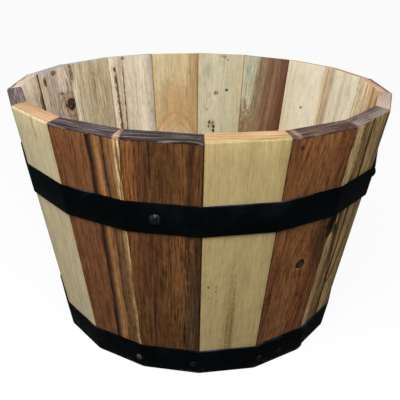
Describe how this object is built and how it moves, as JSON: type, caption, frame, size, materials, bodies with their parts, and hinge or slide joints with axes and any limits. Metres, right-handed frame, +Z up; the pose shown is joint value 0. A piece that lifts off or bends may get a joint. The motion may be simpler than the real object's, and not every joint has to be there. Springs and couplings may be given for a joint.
{
  "type": "barrel planter",
  "caption": "Half-barrel planter: a tapered wall of leaning wooden staves, held by two flat steel hoops, round a slatted base with drain holes.",
  "frame": {"origin": "on the floor, at the middle of the foot, on the barrel's axis", "axes": "+Z up along the barrel's axis, -Y towards the front, +X to the right seen from the front"},
  "size_m": [0.4916, 0.4988, 0.3205],
  "materials": {
    "pale_stave_wood": "bare planed pale sapwood",
    "red_stave_wood": "bare planed red-brown heartwood",
    "tan_stave_wood": "bare planed tan wood with dark streaks",
    "orange_stave_wood": "bare planed orange-brown heartwood",
    "base_wood": "bare sawn boards",
    "hoop_steel": "satin black paint, scuffed at the foot",
    "screw_steel": "worn black",
    "nail_steel": "zinc plated"
  },
  "bodies": {
    "root": {"stave_01": "pale_stave_wood", "stave_02": "red_stave_wood", "stave_03": "tan_stave_wood", "stave_04": "tan_stave_wood", "stave_05": "tan_stave_wood", "stave_06": "pale_stave_wood", "stave_07": "pale_stave_wood", "stave_08": "red_stave_wood", "stave_09": "pale_stave_wood", "stave_10": "tan_stave_wood", "stave_11": "tan_stave_wood", "stave_12": "tan_stave_wood", "stave_13": "tan_stave_wood", "stave_14": "tan_stave_wood", "stave_15": "tan_stave_wood", "stave_16": "pale_stave_wood", "stave_17": "red_stave_wood", "stave_18": "orange_stave_wood", "base_plank_1": "base_wood", "base_plank_2": "base_wood", "base_plank_3": "base_wood", "base_plank_4": "base_wood", "base_plank_5": "base_wood", "front_batten": "base_wood", "rear_batten": "base_wood", "upper_hoop": "hoop_steel", "lower_hoop": "hoop_steel", "upper_hoop_screws": "screw_steel", "lower_hoop_screws": "screw_steel", "batten_nails": "nail_steel"}
  },
  "joints": []
}
